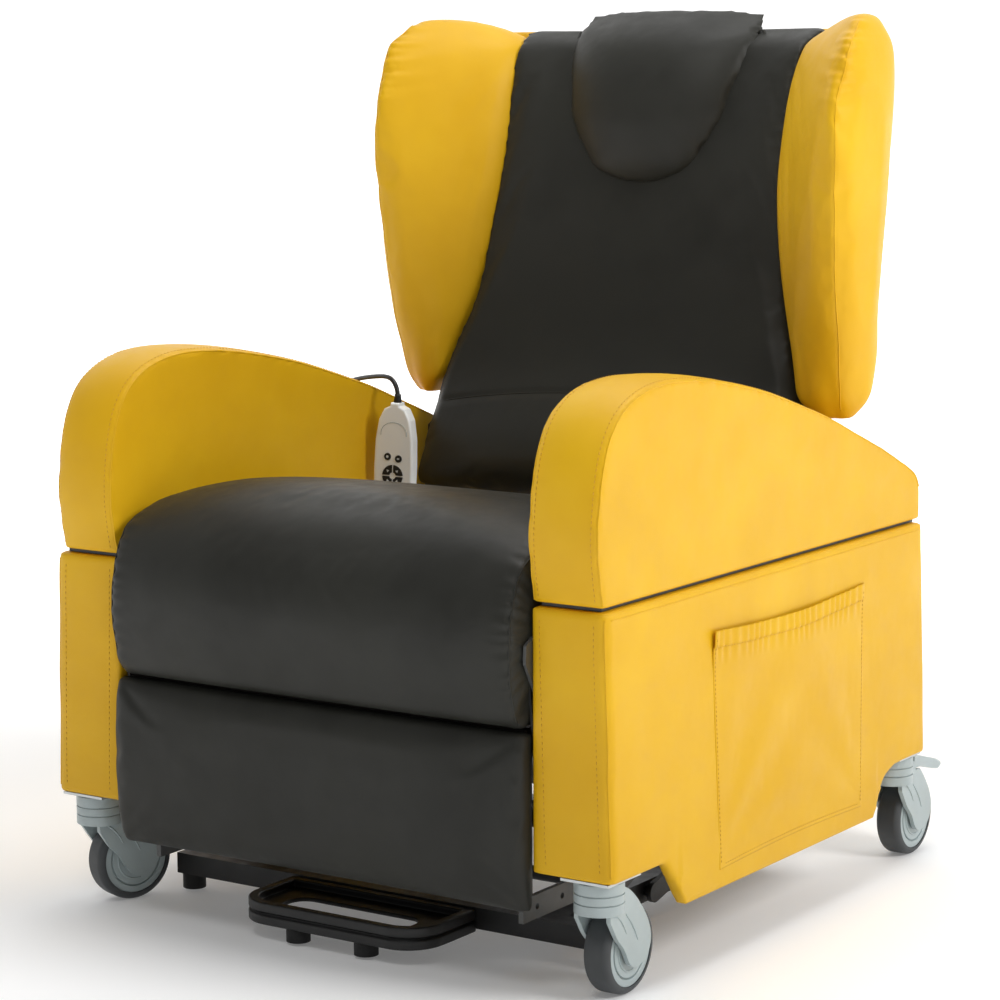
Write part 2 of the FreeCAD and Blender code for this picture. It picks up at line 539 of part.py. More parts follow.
wire, radii, clen = cord_wire(route)
prof = Part.Wire([Part.makeCircle(CORD_R, c0, up_dir)])
cord = wire.makePipeShell([prof], True, True)
if not cord.isValid() or cord.Volume < 0:
    cord.reverse()
print("cord radii", radii)
print("cord length", round(clen, 1), "volume", round(cord.Volume, 1), "section x length", round(math.pi * CORD_R ** 2 * clen, 1), cord.ShapeType, cord.isValid())
keep("handset_cord", cord if cord.ShapeType == "Solid" else cord.Solids[0])
gx, gy = -392.0, 219.0
gland = fuse(cyl((gx, gy, 214), (0, 0, 1), 5.5, 24), cyl((gx, gy, 206), (0, 0, 1), 8.0, 22),
             poly_y([(-face_x(206), 206), (-face_x(228), 228), (gx, 228), (gx, 206)], gy - 7, gy + 7))
keep("cord_gland", gland)

# ---------------------------------------------------------------- export
vol = 0.0
for name, s in parts.items():
    s = s.copy()
    s.translate(V(0, Y_SHIFT, 0))
    if s.ShapeType == "Compound" and len(s.Solids) == 1:
        s = s.Solids[0]
    if not s.isValid() or s.Volume <= 0 or (len(s.Solids) != 1 and name[:11] not in ("foot_pads", "castor_plat")):
        print("CHECK", name, s.ShapeType, s.isValid(), round(s.Volume, 1), len(s.Solids))
    s.exportStep("parts/" + name + ".step")
print(len(parts), "nodes")
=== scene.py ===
import bpy, bmesh, math, json
import numpy as np
from mathutils import Vector, Matrix
from mathutils.bvhtree import BVHTree


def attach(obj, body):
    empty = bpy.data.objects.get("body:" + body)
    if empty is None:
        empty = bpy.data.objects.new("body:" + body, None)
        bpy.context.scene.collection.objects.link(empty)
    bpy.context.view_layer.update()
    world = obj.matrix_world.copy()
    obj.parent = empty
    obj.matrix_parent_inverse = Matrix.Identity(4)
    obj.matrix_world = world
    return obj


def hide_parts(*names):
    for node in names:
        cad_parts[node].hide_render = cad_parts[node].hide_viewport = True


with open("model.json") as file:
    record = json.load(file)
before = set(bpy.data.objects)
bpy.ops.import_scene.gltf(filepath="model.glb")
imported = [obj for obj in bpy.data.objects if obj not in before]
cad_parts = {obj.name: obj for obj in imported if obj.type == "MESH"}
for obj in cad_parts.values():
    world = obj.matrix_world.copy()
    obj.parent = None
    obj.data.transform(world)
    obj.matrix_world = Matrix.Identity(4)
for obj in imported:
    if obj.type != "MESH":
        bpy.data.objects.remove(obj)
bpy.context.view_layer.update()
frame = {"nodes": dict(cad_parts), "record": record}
NODES = frame["nodes"]
YS = -19.0                      # the model's shift along Y, mm
SCN = bpy.context.scene


def M(p):
    """Millimetres in the chair's layout to metres in the row frame."""
    return (p[0] / 1000.0, (p[1] + YS) / 1000.0, p[2] / 1000.0)


# ------------------------------------------------------------------ camera
AZ, EL, DIST, LENS, ROLL = 0.5928, 0.1458, 3.5985, 107.65, -0.005
back = Vector((math.sin(AZ) * math.cos(EL), -math.cos(AZ) * math.cos(EL), math.sin(EL)))
cam_data = bpy.data.cameras.new("camera")
cam_data.lens, cam_data.sensor_width = LENS, 36.0
cam_data.clip_end = 60
cam = bpy.data.objects.new("camera", cam_data)
SCN.collection.objects.link(cam)
loc = Vector(M((-1.95, 0, 471.1))) + back * DIST
right = Vector((math.cos(AZ), math.sin(AZ), 0))
up = right.cross(-back)
r2 = right * math.cos(ROLL) + up * math.sin(ROLL)
u2 = -right * math.sin(ROLL) + up * math.cos(ROLL)
m = Matrix((r2, u2, back)).transposed().to_4x4()
m.translation = loc
cam.matrix_world = m
SCN.camera = cam


# ------------------------------------------------------------------ materials
def lin(c):
    return tuple(((v / 255.0) / 12.92 if v / 255.0 <= 0.04045 else ((v / 255.0 + 0.055) / 1.055) ** 2.4) for v in c) + (1.0,)


class Mat:
    """A procedural material with small helpers for its node tree."""

    def __init__(self, name, **sockets):
        self.m = bpy.data.materials.new(name)
        self.m.use_nodes = True
        self.t = self.m.node_tree
        self.b = self.t.nodes["Principled BSDF"]
        for k, v in sockets.items():
            self.b.inputs[k.replace("_", " ")].default_value = v
        self.co = self.t.nodes.new("ShaderNodeTexCoord")

    def n(self, kind, **kw):
        nd = self.t.nodes.new("ShaderNode" + kind)
        for k, v in kw.items():
            if hasattr(nd, k) and not k[0].isupper():
                setattr(nd, k, v)
            else:
                nd.inputs[k.replace("_", " ")].default_value = v
        return nd

    def link(self, a, b):
        self.t.links.new(a, b)

    def noise(self, scale, detail=3.0, rough=0.5):
        nd = self.n("TexNoise", Scale=scale, Detail=detail, Roughness=rough)
        self.link(self.co.outputs["Object"], nd.inputs["Vector"])
        return nd

    def voronoi(self, scale, feature="F1"):
        nd = self.n("TexVoronoi", feature=feature, Scale=scale)
        self.link(self.co.outputs["Object"], nd.inputs["Vector"])
        return nd

    def ramp(self, src, stops):
        nd = self.n("ValToRGB")
        el = nd.color_ramp.elements
        el[0].position, el[0].color = stops[0]
        el[1].position, el[1].color = stops[-1]
        for p, c in stops[1:-1]:
            e = el.new(p)
            e.color = c
        self.link(src, nd.inputs["Fac"])
        return nd

    def bump(self, heights, normal=None):
        """heights: list of (socket, strength, distance in metres), stacked."""
        last = None
        for src, strength, dist in heights:
            nd = self.n("Bump", Strength=strength, Distance=dist)
            self.link(src, nd.inputs["Height"])
            if last:
                self.link(last.outputs["Normal"], nd.inputs["Normal"])
            last = nd
        self.link(last.outputs["Normal"], self.b.inputs["Normal"])


def mix(c1, c2, f):
    return tuple(a * (1 - f) + b * f for a, b in zip(c1[:3], c2[:3])) + (1.0,)


def vinyl(name, col, dark, light, rough, grain=1.0, coat=0.12, coat_rough=0.35, spec=0.5):
    v = Mat(name, Roughness=rough, Coat_Weight=coat, Coat_Roughness=coat_rough)
    v.b.inputs["Specular IOR Level"].default_value = spec
    big = v.noise(7.0, 3.0, 0.55)
    ramp = v.ramp(big.outputs["Fac"], [(0.30, dark), (0.5, col), (0.72, light)])
    v.link(ramp.outputs["Color"], v.b.inputs["Base Color"])
    rn = v.noise(38.0, 4.0, 0.6)
    rr = v.n("MapRange", From_Min=0.3, From_Max=0.7, To_Min=rough - 0.05, To_Max=rough + 0.07)
    v.link(rn.outputs["Fac"], rr.inputs["Value"])
    v.link(rr.outputs["Result"], v.b.inputs["Roughness"])
    cell = v.voronoi(760.0, "DISTANCE_TO_EDGE")
    edge = v.n("MapRange", From_Min=0.0, From_Max=0.22, To_Min=0.0, To_Max=1.0)
    v.link(cell.outputs["Distance"], edge.inputs["Value"])
    fine = v.noise(1500.0, 2.0, 0.6)
    soft = v.noise(26.0, 2.0, 0.5)
    v.bump([(soft.outputs["Fac"], 0.25, 0.004), (edge.outputs["Result"], 0.32 * grain, 0.00016), (fine.outputs["Fac"], 0.16 * grain, 0.00008)])
    return v.m


YEL = lin((222, 172, 18))
yellow = vinyl("yellow_vinyl_grain", YEL, lin((217, 166, 14)), lin((227, 179, 24)), 0.46, 0.9, 0.03, 0.42, 0.24)
GRY = lin((46, 46, 42))
grey = vinyl("grey_vinyl_grain", GRY, lin((39, 39, 35)), lin((47, 47, 42)), 0.44, 0.9, 0.03, 0.36, 0.2)


def plain(name, col, rough, metal=0.0, bump=0.12, scale=420.0, spread=0.06, coat=0.0, dist=0.0002):
    """Moulded or painted surface with a fine texture and slight wear in colour and gloss."""
    v = Mat(name, Roughness=rough, Metallic=metal, Coat_Weight=coat)
    a = v.noise(14.0, 4.0, 0.6)
    lo = tuple(max(0, c * (1 - spread)) for c in col[:3]) + (1,)
    hi = tuple(min(1, c * (1 + spread)) for c in col[:3]) + (1,)
    r = v.ramp(a.outputs["Fac"], [(0.3, lo), (0.7, hi)])
    v.link(r.outputs["Color"], v.b.inputs["Base Color"])
    rn = v.noise(60.0, 3.0, 0.6)
    rr = v.n("MapRange", From_Min=0.3, From_Max=0.7, To_Min=max(0.05, rough - 0.06), To_Max=rough + 0.08)
    v.link(rn.outputs["Fac"], rr.inputs["Value"])
    v.link(rr.outputs["Result"], v.b.inputs["Roughness"])
    f = v.noise(scale, 3.0, 0.6)
    v.bump([(f.outputs["Fac"], bump, dist)])
    return v.m


castor_grey = plain("castor_moulded_grey", lin((168, 180, 181)), 0.36, bump=0.1, scale=900, coat=0.15)
tyre_mat = plain("castor_tread_rubber", lin((66, 69, 71)), 0.55, bump=0.25, scale=700, spread=0.12)
zinc = plain("zinc_plate", lin((196, 200, 200)), 0.32, metal=0.9, bump=0.1, scale=240, spread=0.1)
black_steel = plain("powder_coat_black", lin((30, 30, 30)), 0.42, bump=0.5, scale=1100, spread=0.2, dist=0.00012)
grey_steel = plain("worn_steel_rail", lin((84, 85, 84)), 0.42, metal=0.35, bump=0.3, scale=500, spread=0.16)
rod_steel = plain("polished_rod", lin((190, 192, 194)), 0.18, metal=1.0, bump=0.03, spread=0.03)
black_plastic = plain("black_moulding", lin((24, 24, 25)), 0.4, bump=0.3, scale=1300, spread=0.15)
rubber = plain("black_rubber", lin((26, 26, 26)), 0.7, bump=0.3, scale=900, spread=0.2)
board = plain("plywood", lin((150, 118, 80)), 0.65, bump=0.4, scale=90, spread=0.2)
board_dark = plain("dark_stained_board", lin((44, 38, 33)), 0.7, bump=0.4, scale=90, spread=0.2)
shell_white = plain("handset_white", lin((250, 252, 251)), 0.34, bump=0.06, scale=1500, spread=0.015, coat=0.1)
key_black = plain("handset_keys", lin((30, 32, 33)), 0.5, bump=0.15, scale=1500, spread=0.1)
key_mark = plain("handset_key_marks", lin((214, 218, 220)), 0.5, bump=0.05, scale=900, spread=0.02)
cord_mat = plain("cord_sheath", lin((24, 24, 25)), 0.38, bump=0.12, scale=900, spread=0.15)
thread = plain("yellow_thread", lin((204, 152, 40)), 0.6, bump=0.5, scale=1800, spread=0.1)


# ------------------------------------------------------------------ mesh helpers
def new_obj(name, verts, faces, mat, smooth=True):
    me = bpy.data.meshes.new(name)
    me.from_pydata([tuple(v) for v in verts], [], faces)
    me.validate()
    bm = bmesh.new()
    bm.from_mesh(me)
    bmesh.ops.recalc_face_normals(bm, faces=bm.faces)
    bm.to_mesh(me)
    bm.free()
    ob = bpy.data.objects.new(name, me)
    SCN.collection.objects.link(ob)
    if mat:
        me.materials.append(mat)
    if smooth:
        me.polygons.foreach_set("use_smooth", [True] * len(me.polygons))
    return ob


def applied(ob):
    """Bakes an object's modifiers into its mesh."""
    dg = bpy.context.evaluated_depsgraph_get()
    dg.update()
    me = bpy.data.meshes.new_from_object(ob.evaluated_get(dg), depsgraph=dg)
    ob.modifiers.clear()
    old = ob.data
    ob.data = me
    if old.users == 0:
        bpy.data.meshes.remove(old)
    me.polygons.foreach_set("use_smooth", [True] * len(me.polygons))
    return ob


def copy_node(node, name, mat):
    src = NODES[node]
    me = src.data.copy()
    me.materials.clear()
    me.materials.append(mat)
    ob = bpy.data.objects.new(name, me)
    SCN.collection.objects.link(ob)
    bm = bmesh.new()
    bm.from_mesh(me)
    bmesh.ops.remove_doubles(bm, verts=bm.verts, dist=1e-5)
    bm.to_mesh(me)
    bm.free()
    me.polygons.foreach_set("use_smooth", [True] * len(me.polygons))
    return ob


def remesh(ob, voxel_mm, smooth=6, factor=0.5):
    r = ob.modifiers.new("r", "REMESH")
    r.mode, r.voxel_size, r.use_smooth_shade = "VOXEL", voxel_mm / 1000, True
    if smooth:
        s = ob.modifiers.new("s", "SMOOTH")
        s.factor, s.iterations = factor, smooth
    return applied(ob)


def get_co(ob):
    co = np.empty(len(ob.data.vertices) * 3)
    ob.data.vertices.foreach_get("co", co)
    return co.reshape(-1, 3) * 1000 - np.array([0, YS, 0])


def get_no(ob):
    no = np.empty(len(ob.data.vertices) * 3)
    ob.data.vertices.foreach_get("normal", no)
    return no.reshape(-1, 3)


def set_co(ob, co):
    ob.data.vertices.foreach_set("co", ((co + np.array([0, YS, 0])) / 1000).ravel())
    ob.data.update()


def puff(ob, pressure=4.0, cap=12.0, frames=16, tension=15.0, pin=None, shrink=0.0, smooth_after=3):
    """Cloth simulation of a filled cover: pressure inside, gravity off, movement capped, result baked."""
    start = get_co(ob)
    if pin is not None:
        vg = ob.vertex_groups.new(name="pin")
        for i in np.nonzero(pin > 0)[0]:
            vg.add([int(i)], float(pin[i]), "REPLACE")
    c = ob.modifiers.new("c", "CLOTH")
    st = c.settings
    st.quality = 5
    st.mass = 0.3
    st.tension_stiffness = st.compression_stiffness = tension
    st.shear_stiffness = 5
    st.bending_stiffness = 0.6
    st.use_pressure = True
    st.uniform_pressure_force = pressure
    st.shrink_min = shrink
    st.effector_weights.gravity = 0
    if pin is not None:
        st.vertex_group_mass = "pin"
        st.pin_stiffness = 1.0
    c.point_cache.frame_start, c.point_cache.frame_end = 1, frames + 1
    for f in range(1, frames + 1):
        SCN.frame_set(f)
    applied(ob)
    SCN.frame_set(1)
    ob.vertex_groups.clear()
    end = get_co(ob)
    d = end - start
    n = np.linalg.norm(d, axis=1)
    k = np.where(n > cap, cap / np.maximum(n, 1e-9), 1.0)
    set_co(ob, start + d * k[:, None])
    if smooth_after:
        s = ob.modifiers.new("s", "SMOOTH")
        s.factor, s.iterations = 0.5, smooth_after
        applied(ob)
    return ob


def subdivide(ob, levels=1):
    s = ob.modifiers.new("sub", "SUBSURF")
    s.levels = s.render_levels = levels
    return applied(ob)


def bvh(ob):
    bm = bmesh.new()
    bm.from_mesh(ob.data)
    t = BVHTree.FromBMesh(bm)
    bm.free()
    return t


def catmull(pts, n, closed=False):
    """Centripetal-like smooth curve through points, n samples a span."""
    P = [np.array(p, float) for p in pts]
    N = len(P)
    out = []
    spans = N if closed else N - 1
    for i in range(spans):
        p1, p2 = P[i % N], P[(i + 1) % N]
        p0 = P[(i - 1) % N] if closed or i > 0 else 2 * p1 - p2
        p3 = P[(i + 2) % N] if closed or i + 2 < N else 2 * p2 - p1
        for k in range(n):
            t = k / n
            out.append(0.5 * ((2 * p1) + (-p0 + p2) * t + (2 * p0 - 5 * p1 + 4 * p2 - p3) * t * t + (-p0 + 3 * p1 - 3 * p2 + p3) * t ** 3))
    if not closed:
        out.append(P[-1])
    return np.array(out)


def resample(pts, step):
    pts = np.asarray(pts, float)
    d = np.r_[0, np.cumsum(np.linalg.norm(np.diff(pts, axis=0), axis=1))]
    n = max(2, int(round(d[-1] / step)) + 1)
    s = np.linspace(0, d[-1], n)
    return np.stack([np.interp(s, d, pts[:, i]) for i in range(3)], 1)


def drop(pts, tree, lift=0.0, direction=None, far=60.0):
    """Moves points (mm layout) onto a mesh: nearest point, or along a direction."""
    out, nor = [], []
    for p in pts:
        w = Vector(M(p))
        if direction is None:
            h = tree.find_nearest(w)
        else:
            dv = Vector(direction)
            h = tree.ray_cast(w - dv * far / 1000, dv)
            if h[0] is None:
                h = tree.find_nearest(w)
        if h[0] is None:
            continue
        q, nn = h[0], h[1]
        out.append(np.array([q.x * 1000, q.y * 1000 - YS, q.z * 1000]) + np.array(nn) * lift)
        nor.append(np.array(nn))
    return np.array(out), np.array(nor)


def smooth_line(p, it=2):
    p = p.copy()
    for _ in range(it):
        p[1:-1] = 0.25 * p[:-2] + 0.5 * p[1:-1] + 0.25 * p[2:]
    return p


def tube(name, pts, r, mat, sides=8, closed=False, taper=None):
    """Mesh tube along points in mm."""
    pts = np.asarray(pts, float)
    n = len(pts)
    tang = np.gradient(pts, axis=0) if not closed else np.roll(pts, -1, 0) - np.roll(pts, 1, 0)
    tang /= np.maximum(np.linalg.norm(tang, axis=1), 1e-9)[:, None]
    nrm = np.cross(tang[0], [0.3, 0.2, 1.0])
    nrm /= np.linalg.norm(nrm)
    V_, F_ = [], []
    for i in range(n):
        nrm = nrm - tang[i] * np.dot(nrm, tang[i])
        nrm /= max(np.linalg.norm(nrm), 1e-9)
        bi = np.cross(tang[i], nrm)
        rr = r if taper is None else taper[i]
        for k in range(sides):
            a = 2 * math.pi * k / sides
            V_.append(M(pts[i] + (nrm * math.cos(a) + bi * math.sin(a)) * rr))
    last = n if closed else n - 1
    for i in range(last):
        for k in range(sides):
            a, b = i * sides + k, i * sides + (k + 1) % sides
            c, d = ((i + 1) % n) * sides + (k + 1) % sides, ((i + 1) % n) * sides + k
            F_.append((a, b, c, d))
    if not closed:
        F_.append(tuple(range(sides))[::-1])
        F_.append(tuple((n - 1) * sides + k for k in range(sides)))
    return new_obj(name, V_, F_, mat)


def stitch_row(name, pts, nor, mat, pitch=5.0, length=3.3, r=0.42):
    length, r = length * 1.15, r * 1.3
    """Short raised stitches along a line lying on a surface."""
    pts = np.asarray(pts, float)
    d = np.r_[0, np.cumsum(np.linalg.norm(np.diff(pts, axis=0), axis=1))]
    V_, F_ = [], []
    s = pitch
    while s + length < d[-1]:
        ring = []
        for t in (s, s + length * 0.5, s + length):
            p = np.array([np.interp(t, d, pts[:, i]) for i in range(3)])
            n_ = np.array([np.interp(t, d, nor[:, i]) for i in range(3)])
            ring.append((p, n_ / max(np.linalg.norm(n_), 1e-9)))
        a, b = ring[0][0], ring[2][0]
        t_ = (b - a) / max(np.linalg.norm(b - a), 1e-9)
        base = len(V_)
        mid, n_ = ring[1]
        sd = np.cross(n_, t_)
        V_.append(M(a - n_ * r * 0.4))
        for q, w in ((a + t_ * length * 0.22, 0.85), (b - t_ * length * 0.22, 0.85)):
            for k in range(6):
                an = math.pi * k / 3
                V_.append(M(q + (sd * math.cos(an) + n_ * (math.sin(an) * 0.9 + 0.35)) * r * w))
        V_.append(M(b - n_ * r * 0.4))
        for k in range(6):
            k2 = (k + 1) % 6
            F_.append((base, base + 1 + k2, base + 1 + k))
            F_.append((base + 1 + k, base + 1 + k2, base + 7 + k2, base + 7 + k))
            F_.append((base + 7 + k, base + 7 + k2, base + 13))
        s += pitch
    return new_obj(name, V_, F_, mat)


def loft(name, rings, mat, cap=True):
    """Closed skin through rings of equal point count (mm)."""
    n = len(rings[0])
    V_ = [M(p) for r in rings for p in r]
    F_ = []
    for i in range(len(rings) - 1):
        for k in range(n):
            a, b = i * n + k, i * n + (k + 1) % n
            F_.append((a, b, b + n, a + n))
    if cap:
        for i, rv in ((0, True), (len(rings) - 1, False)):
            c = np.mean(rings[i], axis=0)
            V_.append(M(c))
            ci = len(V_) - 1
            for k in range(n):
                a, b = i * n + k, i * n + (k + 1) % n
                F_.append((b, a, ci) if rv else (a, b, ci))
    return new_obj(name, V_, F_, mat)


def finish_piece(ob, body, nodes=()):
    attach(ob, body)
    if nodes:
        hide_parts(*nodes)
    return ob


def seam(name, line, tree, body, mat, r=0.9, lift=-0.15, direction=None, it=2):
    """A sewn seam: a fine raised lip lying on the cover."""
    p, n_ = drop(resample(line, 4.0), tree, lift, direction)
    p = smooth_line(p, it)
    t = tube(name, p, r, mat, 6)
    finish_piece(t, body, ())
    return p, n_


# ------------------------------------------------------------------ handset cord
HAND_P, HAND_L, HAND_W, HAND_T = Vector((-253.5, 131.0, 440.0)), 122.0, 53.0, 21.0
ROT = Matrix.Rotation(math.radians(14), 3, "Z") @ Matrix.Rotation(math.radians(2.5), 3, "Y")


def hand(u, n_, v):
    """Handset frame (across, into the shell, up) to the layout, mm."""
    w = HAND_P + ROT @ Vector((u, n_, v))
    return (w.x, w.y, w.z)


CORD_D = 0.006
c0 = hand(0, 0, HAND_L)
c1 = hand(0, 0, HAND_L + 12)
route = [c0, c1, (-253, 134.5, 584.5), (-262.2, 138.2, 591.2), (-275.1, 143.3, 593), (-293.7, 150.7, 591.4), (-324, 163, 587),
         (-352, 174, 581), (-379, 185, 570.5), (-393, 193, 545), (-396.4, 200, 502), (-395, 207, 452), (-392.5, 213, 400),
         (-392, 217, 345), (-392, 219, 292), (-392, 219, 238.6)]
cu = bpy.data.curves.new("handset_lead", "CURVE")
cu.dimensions = "3D"
cu.bevel_depth, cu.bevel_resolution, cu.resolution_u = CORD_D / 2, 5, 16
cu.use_fill_caps = True
sp = cu.splines.new("NURBS")
sp.points.add(len(route) - 1)
for q, p in zip(sp.points, route):
    q.co = (*M(p), 1.0)
sp.order_u = 3
sp.use_endpoint_u = True
cu.materials.append(cord_mat)
lead = bpy.data.objects.new("handset_lead", cu)
SCN.collection.objects.link(lead)
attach(lead, "chassis")
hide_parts("handset_cord")

# ------------------------------------------------------------------ carried CAD nodes: materials and edge rounding
BY_SLOT = {"castor_grey": castor_grey, "castor_tyre": tyre_mat, "zinc": zinc, "black_steel": black_steel, "bright_steel": rod_steel,
           "black_plastic": black_plastic, "black_rubber": rubber, "board": board, "handset_white": shell_white, "button_black": key_black,
           "cord_black": cord_mat, "yellow_vinyl": yellow, "yellow_panel": yellow, "grey_vinyl": grey}
slots = {s["node"]: s["material_slot"] for s in frame["record"]["subparts"]}
BEVEL = {"castor_fork": 1.6, "castor_hub": 0.8, "brake_pedal": 1.5, "castor_plates": 0.5, "floor_frame": 1.8, "foot_loop": 4.0, "foot_pads": 1.5,
         "lift_arm": 0.8, "front_link": 0.8, "chassis_frame": 0.7, "cross_member": 1.0, "legrest_frame": 0.8, "back_frame": 0.8, "seat_deck": 1.0,
         "control_box": 4.0, "legrest_board": 1.0, "armrest_frame": 0.8, "handset_shell": 0.6, "handset_button": 0.35, "cord_gland": 0.8}
for name, ob in NODES.items():
    mat = BY_SLOT.get(slots.get(name), black_steel)
    if name.startswith("chassis_frame"):
        mat = grey_steel
    if name in ("seat_deck", "legrest_board"):
        mat = board_dark
    ob.data.materials.clear()
    ob.data.materials.append(mat)
    w = ob.modifiers.new("weld", "WELD")
    w.merge_threshold = 1e-6
    for key, r in BEVEL.items():
        if name.startswith(key):
            b = ob.modifiers.new("bevel", "BEVEL")
            b.width, b.segments, b.limit_method, b.angle_limit = r / 1000, 3, "ANGLE", math.radians(32)
            b.harden_normals = False
            b.use_clamp_overlap = True


# ------------------------------------------------------------------ side boxes
def make_side_box(sign, node, name):
    ob = copy_node(node, name, yellow)
    ob = remesh(ob, 4.0, 2)
    co, no = get_co(ob), get_no(ob)
    x, y, z = co[:, 0] * sign, co[:, 1], co[:, 2]
    # foam under the vinyl: the outer and front faces stand a little proud between their edges
    out = (no[:, 0] * sign > 0.3)
    ey = np.clip(np.minimum(y + 371, 371 - y) / 60, 0, 1)
    ez = np.clip(np.minimum(427 - z, z - np.where(np.abs(y) < 235, 84, 138)) / 50, 0, 1)
    swell = 4.4 + 1.6 * np.sin(ey * math.pi / 2) * np.sin(ez * math.pi / 2)
    rip = 0.35 * np.sin(z / 17.0 + y / 61.0) * np.sin(y / 43.0 + 0.6) + 0.25 * np.sin(y / 19.0 + z / 37.0)
    side_on = np.clip((x - 352) / 20, 0, 1)
    co[:, 0] += np.where(out, (swell + rip * ez) * sign, 4.4 * side_on * sign)
    fr = (no[:, 1] < -0.5) & (y < -350)
    fx = np.clip(np.minimum(x - 287, 378 - x) / 30, 0, 1)
    fz = np.clip(np.minimum(427 - z, z - 138) / 40, 0, 1)
    co[:, 1] -= np.where(fr, 2.4 * np.sin(fx * math.pi / 2) * np.sin(fz * math.pi / 2), 0)
    set_co(ob, co)
    finish_piece(ob, "chassis", (node,))
    return ob


side_l = make_side_box(1, "side_box_left", "side_cover_left")
side_r = make_side_box(-1, "side_box_right", "side_cover_right")


def face_x(z):
    return 375 + (427 - z) * 10 / 343


for sg, ob, nm in ((1, side_l, "left"), (-1, side_r, "right")):
    tr = bvh(ob)
    # corner seam down the front outer edge, and stitched rows on the front face
    line = [(sg * (face_x(z) + 2.6), -371.0, z) for z in np.linspace(420, 146, 40)]
    seam("box_seam_front_" + nm, line, tr, "chassis", yellow, 1.0)
    for k, off in enumerate((11, 78)):
        line = [(sg * (face_x(z) - off), -380.0, z) for z in np.linspace(420, 146, 60)]
        p, n_ = drop(resample(line, 4), tr, 0.15, (0, 1, 0), 30)
        st = stitch_row("box_stitch_%s_%d" % (nm, k), p, n_, thread, 6.5, 3.2, 0.4)
        finish_piece(st, "chassis", ())
    line = [(sg * 400, y, 419.0) for y in np.linspace(-362, 362, 90)]
    p, n_ = drop(resample(line, 6), tr, 0.0, (-sg, 0, 0), 40)
    t = tube("box_top_seam_" + nm, p, 0.7, yellow, 6)
    finish_piece(t, "chassis", ())


# ------------------------------------------------------------------ armrest pads
def make_arm(sign, node, name):
    ob = copy_node(node, name, yellow)
    ob = remesh(ob, 4.5, 5)
    co, no = get_co(ob), get_no(ob)
    x = co[:, 0] * sign
    y, z = co[:, 1], co[:, 2]
    # crowned top band between its two seams
    band = np.clip(np.abs(no[:, 0]) * -3 + 1.6, 0, 1) * (z > 434)
    u = np.clip((x - 331) / 44, -1, 1)
    crown = 4.6 * (1 - u ** 2) * band
    co += no * crown[:, None]
    side = np.abs(no[:, 0]) > 0.8
    dz = np.clip((z - 431) / 40, 0, 1)
    rip = 0.5 * np.sin(y / 33.0 + z / 51.0) * np.sin(y / 97.0 + 1.1)
    co[:, 0] += np.where(side, np.sign(no[:, 0]) * (-1.2 * dz + 0.7 * rip), 0)
    if sign < 0:
        ease = np.clip((x - 340) / 35, 0, 1) ** 2 * np.clip((-180 - y) / 120, 0, 1)
        co[:, 0] += 6.0 * ease
    set_co(ob, co)
    subdivide(ob)
    finish_piece(ob, "chassis", (node,))
    return ob


ARM = [(-368, 433), (-374, 461), (-378, 503), (-376, 530), (-369, 570), (-353, 608), (-328, 633), (-291, 649),
       (-243, 656), (-199, 655), (-143, 649), (-74, 637), (-14, 624), (74, 599), (138, 579), (205, 554), (274, 528), (332, 503),
       (361, 487), (369, 472)]
for sg, nm in ((1, "left"), (-1, "right")):
    ob = make_arm(sg, "armrest_pad_" + nm, "arm_cover_" + nm)
    tr = bvh(ob)
    prof = catmull([(0, a, b) for a, b in ARM], 6)
    for k, xx in enumerate((375.0, 287.0)):
        line = prof.copy()
        line[:, 0] = sg * xx
        p, n_ = drop(resample(line, 4), tr, -0.1)
        p = smooth_line(p, 3)
        t = tube("arm_seam_%s_%d" % (nm, k), p, 1.15, yellow, 6)
        finish_piece(t, "chassis", ())
    # stitched row inside each seam, on the band
    for k, xx in enumerate((366.0, 296.0)):
        line = prof.copy()
        line[:, 0] = sg * xx
        p, n_ = [], []
        for q in resample(line, 4):
            d = q - np.array([sg * xx, np.clip(q[1], -250, 250), 440.0])
            d /= max(np.linalg.norm(d), 1e-9)
            h = tr.ray_cast(Vector(M(q + d * 30)), Vector(-d))
            if h[0] is None:
                continue
            p.append([h[0].x * 1000, h[0].y * 1000 - YS, h[0].z * 1000])
            n_.append(list(h[1]))
        p, n_ = np.array(p), np.array(n_)
        st = stitch_row("arm_stitch_%s_%d" % (nm, k), p + n_ * 0.1, n_, thread, 6.0, 3.4, 0.42)
        finish_piece(st, "chassis", ())

# ------------------------------------------------------------------ back, wings, pillow
LV = [
    (445.0, 166, (262, 176), None, None, None, (262, 302)),
    (500.0, 186, (266, 205), None, None, None, (266, 308)),
    (548.0, 212, (268, 232), None, None, None, (268, 314)),
    (589.0, 238, (266, 251), (318, 250), (338, 300), (306, 322), (262, 325)),
    (633.0, 262, (252, 263), (324, 234), (341, 314), (306, 346), (240, 347)),
    (690.0, 284, (233, 279), (327, 222), (342, 316), (306, 356), (225, 358)),
    (756.0, 301, (219, 288), (330, 213), (343, 322), (306, 366), (212, 369)),
    (832.0, 322, (209, 299), (333, 204), (344, 330), (306, 378), (202, 382)),
    (898.0, 338, (206, 316), (333, 204), (344, 336), (306, 388), (200, 394)),
    (962.0, 356, (209, 332), (333, 215), (344, 342), (306, 397), (204, 405)),
    (1008.0, 374, (214, 355), (333, 240), (340, 346), (304, 402), (212, 412)),
    (1032.0, 394, (222, 378), (330, 268), (334, 340), (298, 398), (220, 416)),
]
ZB = np.array([l[0] for l in LV])


def spl(zs, vals, z):
    """Monotone-ish cubic through a table."""
    pts = catmull([(a, b, 0) for a, b in zip(zs, vals)], 12)
    return np.interp(z, pts[:, 0], pts[:, 1])


